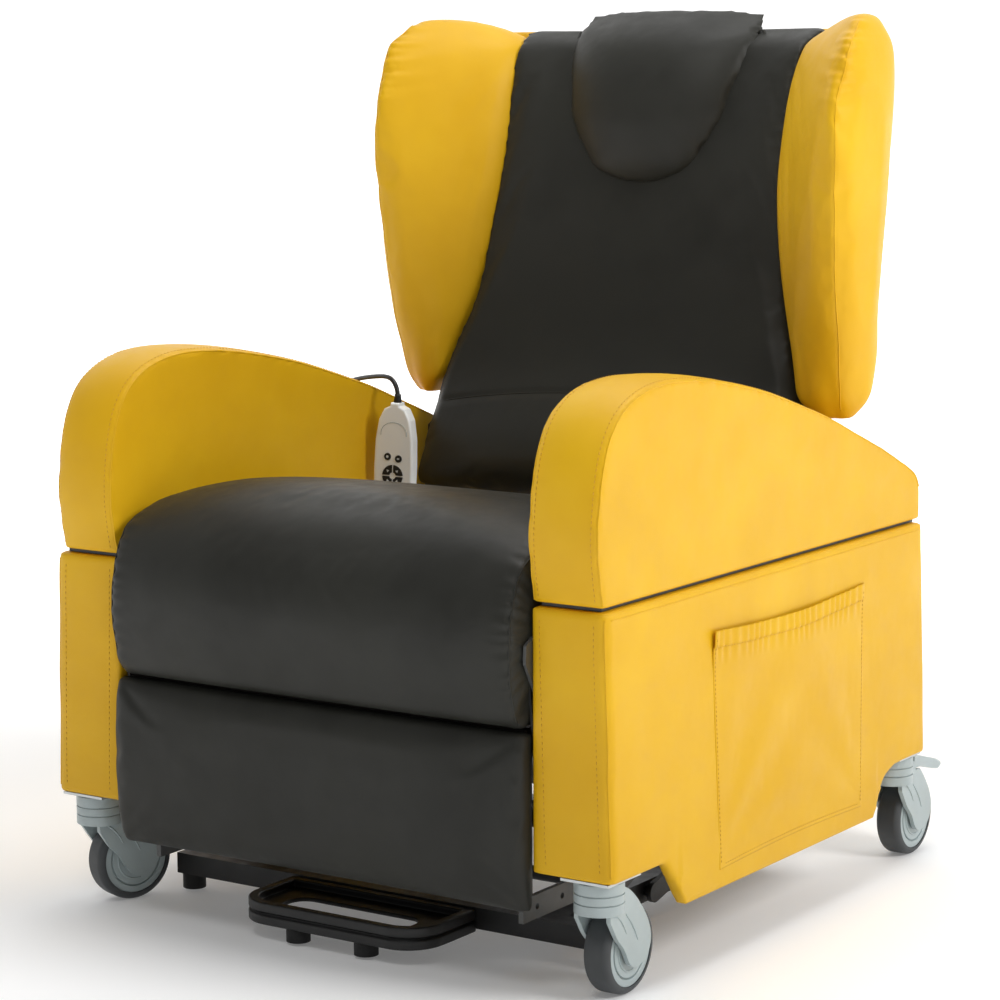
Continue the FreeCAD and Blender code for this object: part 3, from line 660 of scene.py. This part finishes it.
def back_at(z):
    yc = spl(ZB, [l[1] for l in LV], z)
    sx = spl(ZB, [l[2][0] for l in LV], z)
    sy = spl(ZB, [l[2][1] for l in LV], z)
    ry = spl(ZB, [l[6][1] for l in LV], z)
    return yc, sx, sy, ry


def make_back():
    rings = []
    zs = list(np.linspace(447, 1010, 46)) + [1017, 1023, 1028, 1031.5, 1034]
    for z in zs:
        yc, sx, sy, ry = back_at(min(z, 1032))
        if z > 1010:                       # the panel rolls over its top edge
            t = (z - 1010) / 24.0
            yc, sy = yc + 20 * t * t, sy + 24 * t * t
        if z < 470:
            t = (470 - z) / 23.0
            yc, sy, ry = yc + 14 * t * t, sy + 14 * t * t, ry - 8 * t * t
        ring = []
        for u in np.linspace(-1, 1, 33):
            ring.append((u * (sx - 0.8), yc + (sy - yc) * abs(u) ** 2.2, z))
        for u in np.linspace(1, -1, 13):
            ring.append((u * (sx - 0.8) * 0.99, ry - 1, z))
        rings.append(ring)
    ob = loft("back_cover", rings, grey)
    ob = remesh(ob, 5.0, 6)
    co = get_co(ob)
    puff(ob, 2.5, 7.0, 14, 15.0, pin=np.clip((co[:, 1] - 330) / 30 + (co[:, 2] < 640) * 0, 0, 1) * (co[:, 1] > 335 + (co[:, 2] - 800) * 0.15), smooth_after=4)
    co, no = get_co(ob), get_no(ob)
    x, y, z = co.T
    front = np.clip(-no[:, 1] * 2 - 0.4, 0, 1)
    # slight tension folds running down from the waist, and a shallow curved seam low on the back
    fold = 0.8 * np.sin(x / 46.0 + 0.8) * np.sin(z / 120.0 + 1.2) * np.exp(-((z - 640) / 160) ** 2)
    zc = 552 + 26 * (1 - (x / 262) ** 2)
    groove = -1.8 * np.exp(-((z - zc) / 4.5) ** 2)
    lum = 3.0 * np.exp(-((z - (zc - 46)) / 40) ** 2) * (1 - (x / 268) ** 2).clip(0, 1)
    co[:, 1] -= front * (fold + groove + lum)
    set_co(ob, co)
    subdivide(ob)
    finish_piece(ob, "backrest", ("back_cushion",))
    return ob


back_ob = make_back()
tr_back = bvh(back_ob)
line = [(x, 150.0, 552 + 26 * (1 - (x / 262) ** 2)) for x in np.linspace(-250, 250, 80)]
p, n_ = drop(resample(line, 5), tr_back, -0.2, (0, 1, 0), 60)
t = tube("back_lower_seam", smooth_line(p, 3), 0.8, grey, 6)
finish_piece(t, "backrest", ())

RIDGE = [(314, 259, 570), (325, 232, 656), (329, 215, 740), (334, 202, 863), (332, 207, 943), (334, 223, 982), (334, 239, 1015), (324, 280, 1049)]


def wing_ring_at(z):
    up = [l for l in LV if l[3]]
    zs = np.array([570.0] + [l[0] for l in up[1:]])
    g = lambda f: spl(zs, [f(l) for l in up], min(max(z, 570), 1032))
    S = np.array([g(lambda l: l[2][0]), g(lambda l: l[2][1])])
    A = np.array([np.interp(z, [r[2] for r in RIDGE], [r[0] for r in RIDGE]), spl(np.array([r[2] for r in RIDGE]), [r[1] for r in RIDGE], z)])
    B = np.array([g(lambda l: l[4][0]), g(lambda l: l[4][1])])
    C = np.array([g(lambda l: l[5][0]), g(lambda l: l[5][1])])
    R = np.array([g(lambda l: l[6][0]), g(lambda l: l[6][1])])
    return S, A, B, C, R


def make_wing(sign, name):
    rings = []
    zs = list(np.linspace(560, 1012, 42)) + [1020, 1028, 1035, 1041, 1046, 1049.5]
    for z in zs:
        S, A, B, C, R = wing_ring_at(z)
        if z < 589:                        # the wing narrows to its lower tip
            t = (589 - z) / 29.0
            k = 1 - 0.55 * t ** 1.6
            cen = np.array([305.0, 287.0])
            S, A, B, C, R = [cen + (q - cen) * k for q in (S, A, B, C, R)]
        if z > 1012:                       # and closes over its rounded top
            t = (z - 1012) / 37.5
            k = math.sqrt(max(0.0, 1 - t ** 2.4)) * 0.86 + 0.14
            cen = np.array([310.0, 332.0])
            S = S + (np.array([262.0, 352.0]) - S) * t ** 1.6
            R = R + (np.array([262.0, 380.0]) - R) * t ** 1.6
            S, B, C, R = [cen + (q - cen) * k for q in (S, B, C, R)]
            A = cen + (A - cen) * (0.35 + 0.65 * k)
        AB = A + (B - A) * 0.12 + np.array([5.0, -3.0])
        M1 = S + (A - S) * 0.35 + np.array([2.0, -9.0])
        M2 = S + (A - S) * 0.72 + np.array([1.0, -7.0])
        MB = (A + B) / 2 + np.array([7.0, 0.0])
        pts = [S, M1, M2, A + np.array([-4, 0.0]), AB, MB, B, C, (C + R) / 2, R]
        cv = catmull([(q[0], q[1], 0) for q in pts], 5, closed=True)
        rings.append([(sign * q[0], q[1], z) for q in cv])
    ob = loft(name, rings, yellow)
    ob = remesh(ob, 5.0, 5)
    co = get_co(ob)
    puff(ob, 2.6, 6.0, 14, 15.0, pin=(np.abs(co[:, 0]) < wing_inner(co[:, 2]) + 8).astype(float), smooth_after=3)
    co, no = get_co(ob), get_no(ob)
    x, y, z = co[:, 0] * sign, co[:, 1], co[:, 2]
    rx = np.interp(z, [r[2] for r in RIDGE], [r[0] for r in RIDGE])
    ry = np.interp(z, [r[2] for r in RIDGE], [r[1] for r in RIDGE])
    d = np.hypot(x - rx, y - ry)
    # gathers where the vinyl is eased round the upper ridge
    gz = np.clip((z - 935) / 35, 0, 1) * np.clip((1060 - z) / 10, 0, 1)
    g = 1.5 * np.sin(z * 0.62 + 0.9 * np.sin(z * 0.21)) * np.exp(-(d / 22) ** 2) * gz
    g2 = 0.9 * np.sin(z * 0.27 + x * 0.05) * np.exp(-(d / 48) ** 2) * gz
    co += no * (g + g2)[:, None]
    set_co(ob, co)
    subdivide(ob)
    finish_piece(ob, "backrest", ("wing_" + ("left" if sign > 0 else "right"),))
    return ob


def wing_inner(z):
    return spl(ZB, [l[2][0] for l in LV], np.clip(z, 589, 1032))


wings = {s: make_wing(s, "wing_cover_" + n) for s, n in ((1, "left"), (-1, "right"))}
for sg, nm in ((1, "left"), (-1, "right")):
    tr = bvh(wings[sg])
    line = [(sg * (r[0] + 6), r[1] + 2, r[2]) for r in catmull(RIDGE, 8)]
    p, n_ = drop(resample(line, 4), tr, -0.1)
    t = tube("wing_ridge_seam_" + nm, smooth_line(p, 4), 0.9, yellow, 6)
    finish_piece(t, "backrest", ())

# rear cover
rear = copy_node("back_shell", "rear_cover", yellow)
rear = remesh(rear, 6.0, 6)
co, no = get_co(rear), get_no(rear)
u = np.clip(1 - (co[:, 0] / 285) ** 2, 0, 1) * np.clip(np.minimum(co[:, 2] - 445, 1032 - co[:, 2]) / 120, 0, 1)
co[:, 1] += np.where(no[:, 1] > 0.3, 5 * np.sin(u * math.pi / 2), 0)
set_co(rear, co)
finish_piece(rear, "backrest", ("back_shell",))

HP = [(838, 30, 325, 4), (848, 66, 329, 14), (872, 92, 335, 26), (917, 121, 343, 36), (950, 131, 352, 39),
      (983, 138, 363, 38), (1012, 142, 377, 34), (1032, 145, 393, 26), (1050, 140, 414, 14), (1058, 130, 421, 6)]


def make_pillow():
    zz = np.array([h[0] for h in HP], float)
    zs = [837.5, 839.5, 843] + list(np.linspace(849, 1040, 34)) + [1046, 1051, 1055, 1058.5]
    rings = []
    for z in zs:
        w = spl(zz, [h[1] for h in HP], z)
        if z < 850:
            w = 66 * math.sqrt(max(0.02, (z - 836.5) / 13.5))
        yb = spl(zz, [h[2] for h in HP], z) - 1
        t = spl(zz, [h[3] for h in HP], z)
        ring = []
        for u in np.linspace(-1, 1, 31):
            ring.append((u * w, yb - t * (1 - abs(u) ** 2.6) - 1.0, z))
        for u in np.linspace(1, -1, 11)[1:-1]:
            ring.append((u * w * 0.98, yb + 4, z))
        k = min(max((z - 960) / 98.0, 0), 1)
        dome = 13.0 * k * k * (3 - 2 * k)
        rings.append([(a, b, c + 1.5 * k - dome * (abs(a) / 135.0) ** 2.6) for a, b, c in ring])
    ob = loft("pillow_cover", rings, grey)
    ob = remesh(ob, 4.0, 4)
    puff(ob, 3.5, 6.0, 16, 12.0, smooth_after=3)
    subdivide(ob)
    finish_piece(ob, "backrest", ("headrest_pillow",))
    return ob


pillow = make_pillow()
tr_p = bvh(pillow)
edge = []
for z in list(np.linspace(1036, 849, 50)):
    w = spl(np.array([h[0] for h in HP], float), [h[1] for h in HP], z)
    edge.append((w, spl(np.array([h[0] for h in HP], float), [h[2] for h in HP], z) - 6, z))
low = [(66 * math.cos(a), 322 - 3 * math.sin(a), 849 - 12 * math.sin(a)) for a in np.linspace(0, math.pi, 30)]
path = edge + low[1:-1] + [(-a, b, c) for a, b, c in edge[::-1]]
p, n_ = drop(resample(path, 4), tr_p, 0.3)
t = tube("pillow_piping", smooth_line(p, 4), 2.0, grey, 8)
finish_piece(t, "backrest", ())


# ------------------------------------------------------------------ seat cushion and legrest
def make_seat():
    ob = copy_node("seat_cushion", "seat_cover", grey)
    ob = remesh(ob, 5.0, 8)
    co = get_co(ob)
    low = (co[:, 2] < 306) | (co[:, 1] > 90)
    puff(ob, 3.0, 4.0, 12, 14.0, pin=low.astype(float), smooth_after=4)
    co, no = get_co(ob), get_no(ob)
    x, y, z = co.T
    # the vinyl gathers into the seam at each end of the front roll
    for sg in (1, -1):
        d = 279 - x * sg
        f = np.exp(-(d / 17.0) ** 2) * np.clip((-330 - y) / 30, 0, 1)
        a = np.arctan2(z - 395, -y - 330)
        co += no * (1.5 * np.sin(a * 31 + 1.2 * np.sin(a * 9)) * f)[:, None]
    fold = 0.9 * np.sin(x / 70.0 + 0.5) * np.exp(-((z - 318) / 20) ** 2) * (y < -380)
    co[:, 1] += fold
    set_co(ob, co)
    subdivide(ob)
    finish_piece(ob, "chassis", ("seat_cushion",))
    return ob


seat = make_seat()
tr_s = bvh(seat)
for sg, nm in ((1, "left"), (-1, "right")):
    prof = [(-80, 466), (-130, 478), (-215, 489), (-288, 491), (-338, 483), (-371, 467), (-387, 440), (-397, 395), (-396, 352), (-389, 318), (-381, 299)]
    line = catmull([(sg * 277, a, b) for a, b in prof], 8)
    p, n_ = drop(resample(line, 4), tr_s, -0.2)
    t = tube("seat_end_seam_" + nm, smooth_line(p, 3), 1.1, grey, 6)
    finish_piece(t, "chassis", ())


def make_leg():
    ob = copy_node("legrest_pad", "legrest_cover", grey)
    ob = remesh(ob, 4.5, 6)
    co = get_co(ob)
    puff(ob, 2.0, 5.0, 12, 15.0, pin=(co[:, 1] > -370).astype(float), smooth_after=3)
    co, no = get_co(ob), get_no(ob)
    x, y, z = co.T
    f = (no[:, 1] < -0.3)
    co[:, 1] += np.where(f, 0.8 * np.sin(x / 90.0) * np.sin(z / 60.0), 0)
    set_co(ob, co)
    subdivide(ob)
    finish_piece(ob, "legrest", ("legrest_pad",))
    return ob


leg = make_leg()


# ------------------------------------------------------------------ storage pocket: a gathered sheet
def make_pocket():
    nu, nv = 260, 120
    y0t, y1t, y0b, y1b = -158.0, 203.0, -150.0, 190.0
    V_, F_ = [], []
    for j in range(nv + 1):
        v = j / nv                          # 0 bottom, 1 top
        for i in range(nu + 1):
            u = i / nu
            top = 376 - 7 * math.sin(math.pi * u)
            zb = 106 + 4 * math.sin(math.pi * u)
            z = zb + (top - zb) * v
            y = (y0b + (y1b - y0b) * u) * (1 - v) + (y0t + (y1t - y0t) * u) * v
            edge = min(u, 1 - u)
            bulge = 5.6 + 4.2 * math.sin(math.pi * u) ** 0.6 * (0.25 + 0.75 * v) * min(1, v * 5)
            # folds fan out from the lower corners towards the elastic hem
            a1 = math.atan2(v + 0.06, u + 0.12)
            a2 = math.atan2(v + 0.06, 1.12 - u)
            fan = 2.2 * math.sin(a1 * 15 + 0.6) * math.exp(-((u - 0.3) / 0.33) ** 2) + 2.0 * math.sin(a2 * 13 + 1.1) * math.exp(-((u - 0.72) / 0.31) ** 2)
            fan *= min(1, edge * 9) * min(1, v * 3) * (1 - 0.35 * v)
            hem = 0.0
            if v > 0.93:
                hem = 1.9 + 0.9 * math.sin(u * 150 + 1.7 * math.sin(u * 23)) * min(1, edge * 30)
            elif v > 0.85:
                hem = 1.0 * math.sin(u * 150 + 1.7 * math.sin(u * 23)) * min(1, edge * 30) * (v - 0.85) / 0.08
            gape = 4.0 * math.exp(-((u) / 0.05) ** 2) * max(0, (v - 0.75) / 0.25) ** 2
            x = face_x(z) + bulge + fan + hem + gape
            V_.append(M((x, y, z)))
    for j in range(nv):
        for i in range(nu):
            a = j * (nu + 1) + i
            F_.append((a, a + 1, a + nu + 2, a + nu + 1))
    ob = new_obj("pocket_cloth", V_, F_, yellow)
    s = ob.modifiers.new("s", "SOLIDIFY")
    s.thickness, s.offset = 0.0012, 0
    applied(ob)
    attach(ob, "chassis")
    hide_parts("storage_pocket")
    return ob


pocket = make_pocket()
tr_pk = bvh(pocket)
hemline = [(400, y, 376 - 7 * math.sin(math.pi * (y + 158) / 361) - 18.5) for y in np.linspace(-156, 201, 120)]
p, n_ = drop(resample(hemline, 3), tr_pk, 0.1, (-1, 0, 0), 30)
st = stitch_row("pocket_hem_stitch", p, n_, thread, 4.5, 3.0, 0.4)
finish_piece(st, "chassis", ())
for k, pts in enumerate(([(400, -158 + 3 + 8 * (1 - v), 106 + 268 * v) for v in np.linspace(0.01, 0.98, 60)], [(400, 200 - 13 * (1 - v), 106 + 268 * v) for v in np.linspace(0.01, 0.98, 60)],
                         [(400, -146 + 332 * u, 111 + 4 * math.sin(math.pi * u)) for u in np.linspace(0.01, 0.99, 90)])):
    p, n_ = drop(resample(pts, 3), tr_pk, 0.1, (-1, 0, 0), 30)
    st = stitch_row("pocket_edge_stitch_%d" % k, p, n_, thread, 5.0, 3.0, 0.38)
    finish_piece(st, "chassis", ())

# ------------------------------------------------------------------ strain relief on the handset
pp = [hand(0, 0, HAND_L - 1 + k * 1.9) for k in range(7)]
sr = tube("handset_strain_relief", pp, 5, cord_mat, 16, taper=[5.4, 5.3, 5.0, 4.7, 4.4, 4.2, 4.1])
finish_piece(sr, "chassis", ())

# ------------------------------------------------------------------ castor ribs and wheel cover steps
for key, cx, cy, turn in (("front_left", 351.0, -339.0, 0.0), ("front_right", -351.0, -339.0, -18.85), ("rear_left", 351.0, 348.0, 0.0), ("rear_right", -351.0, 348.0, 0.0)):
    ca, sa = math.cos(math.radians(turn)), math.sin(math.radians(turn))

    def at(x, t, z):
        return (cx + x * ca - t * sa, cy + x * sa + t * ca, z)

    for sd in (1, -1):
        for k, pts in enumerate(([(-13, 103), (-3, 98.5), (6, 91), (13, 82), (18, 73)], [(17, 95), (27, 84), (35, 73), (41, 61)])):
            cv = catmull([(sd * 23.1, a, b) for a, b in pts], 8)
            n_ = len(cv)
            tp = [0.25 + 0.95 * math.sin(math.pi * min(1, (i + 1) / n_ * 1.0)) ** 0.5 for i in range(n_)]
            t = tube("castor_rib_%s_%d_%d" % (key, k, sd > 0), [at(*q) for q in cv], 1.0, castor_grey, 8, taper=tp)
            finish_piece(t, "castor_" + key, ())
        # crescent step on the wheel's cover
        arc = [(sd * 14.9, 39 + 24 * math.cos(a), 50 + 24 * math.sin(a)) for a in np.linspace(math.radians(150), math.radians(285), 26)]
        tp = [0.3 + 1.0 * math.sin(math.pi * (i + 0.5) / 26) for i in range(26)]
        t = tube("castor_cover_step_%s_%d" % (key, sd > 0), [at(*q) for q in arc], 1.0, castor_grey, 8, taper=tp)
        finish_piece(t, "wheel_" + key, ())

# ------------------------------------------------------------------ handset face
fn = -HAND_T / 2
arch = [(-17.5, 80), (-17, 86), (-14, 91.5), (-8, 95.5), (0, 97), (8, 95.5), (14, 91.5), (17, 86), (17.5, 80)]
cv = catmull([(a, b, 0) for a, b in arch], 6)
t = tube("handset_arch_groove", [hand(q[0], fn - 0.05, q[1]) for q in cv], 0.4, castor_grey, 6)
finish_piece(t, "chassis", ())

def mark(name, outline, body):
    """A pale generic mark standing 0.15 mm off a key's top."""
    n_ = len(outline)
    top = [M(hand(a, fn - 0.98, b)) for a, b in outline]
    bot = [M(hand(a, fn - 0.72, b)) for a, b in outline]
    f = [tuple(range(n_)), tuple(range(n_, 2 * n_))[::-1]] + [(i, (i + 1) % n_, n_ + (i + 1) % n_, n_ + i) for i in range(n_)]
    o = new_obj(name, top + bot, f, key_mark, False)
    finish_piece(o, body, ())


mark("mark_light", [(-7.5 + 1.7 * math.cos(a), 52.5 + 1.7 * math.sin(a)) for a in np.linspace(0, 2 * math.pi, 13)[:-1]], "button_light")
mark("mark_lock", [(6.0, 49.6), (9.0, 49.6), (9.0, 51.6), (6.0, 51.6)], "button_lock")
for k, nm in enumerate(("back_up", "legs_up", "legs_down", "back_down")):
    a0 = math.radians(45 + 90 * k)
    c_ = (9.2 * math.cos(a0), 28 + 9.2 * math.sin(a0))
    d_ = (math.cos(a0), math.sin(a0))
    e_ = (-d_[1], d_[0])
    mark("mark_" + nm, [(c_[0] + d_[0] * 2.0, c_[1] + d_[1] * 2.0), (c_[0] - d_[0] * 1.3 + e_[0] * 1.9, c_[1] - d_[1] * 1.3 + e_[1] * 1.9),
                        (c_[0] - d_[0] * 1.3 - e_[0] * 1.9, c_[1] - d_[1] * 1.3 - e_[1] * 1.9)], "button_" + nm)

# ------------------------------------------------------------------ floor and light
bpy.ops.mesh.primitive_plane_add(size=60, location=(0, 0, 0))
floor = bpy.context.object
floor.name = "floor"
fm = Mat("floor_pale_painted_glow", Roughness=0.9)
fm.b.inputs["Base Color"].default_value = (0.90, 0.90, 0.90, 1)
# painted light: the floor glows by itself. Its emission is weak near the chair and rises smoothly with distance
# from the origin to full strength beyond about 2.6 m, so the far floor reads white.
fm.b.inputs["Emission Color"].default_value = (1, 1, 1, 1)
geo_ = fm.t.nodes.new("ShaderNodeNewGeometry")
ln_ = fm.t.nodes.new("ShaderNodeVectorMath")
ln_.operation = "LENGTH"
fm.t.links.new(geo_.outputs["Position"], ln_.inputs[0])
floor_glow_by_distance = fm.t.nodes.new("ShaderNodeMapRange")
floor_glow_by_distance.interpolation_type = "SMOOTHSTEP"
for k, v in (("From Min", 0.75), ("From Max", 2.6), ("To Min", 0.14), ("To Max", 1.1)):
    floor_glow_by_distance.inputs[k].default_value = v
fm.t.links.new(ln_.outputs["Value"], floor_glow_by_distance.inputs["Value"])
fm.t.links.new(floor_glow_by_distance.outputs["Result"], fm.b.inputs["Emission Strength"])
floor.data.materials.append(fm.m)

w = bpy.data.worlds.new("world")
SCN.world = w
w.use_nodes = True
wt = w.node_tree
bgn = wt.nodes["Background"]
tc = wt.nodes.new("ShaderNodeTexCoord")
dot = wt.nodes.new("ShaderNodeVectorMath")
dot.operation = "DOT_PRODUCT"
dot.inputs[1].default_value = (-math.sin(AZ), math.cos(AZ), 0.0)
wt.links.new(tc.outputs["Generated"], dot.inputs[0])
mr = wt.nodes.new("ShaderNodeMapRange")
mr.interpolation_type = "SMOOTHSTEP"
for k, v in (("From Min", -0.1), ("From Max", 0.75), ("To Min", 0.17), ("To Max", 1.25)):
    mr.inputs[k].default_value = v
wt.links.new(dot.outputs["Value"], mr.inputs["Value"])
wt.links.new(mr.outputs["Result"], bgn.inputs["Strength"])
bgn.inputs["Color"].default_value = (1.0, 1.0, 1.0, 1)


def area(name, loc, target, size, power, color=(1, 1, 1)):
    l = bpy.data.lights.new(name, "AREA")
    l.shape, l.size, l.energy, l.color = "DISK", size, power, color
    o = bpy.data.objects.new(name, l)
    SCN.collection.objects.link(o)
    o.location = loc
    o.rotation_euler = (Vector(target) - Vector(loc)).to_track_quat("-Z", "Y").to_euler()
    return o


area("key", (3.4, 0.25, 2.6), (0, 0, 0.5), 1.6, 74)
area("top", (0.2, 0.3, 3.3), (0, -0.1, 0.5), 2.0, 36)
area("front_high", (0.6, -2.3, 3.6), (0, 0.1, 0.8), 1.2, 20)
SCN.view_settings.view_transform = "Standard"
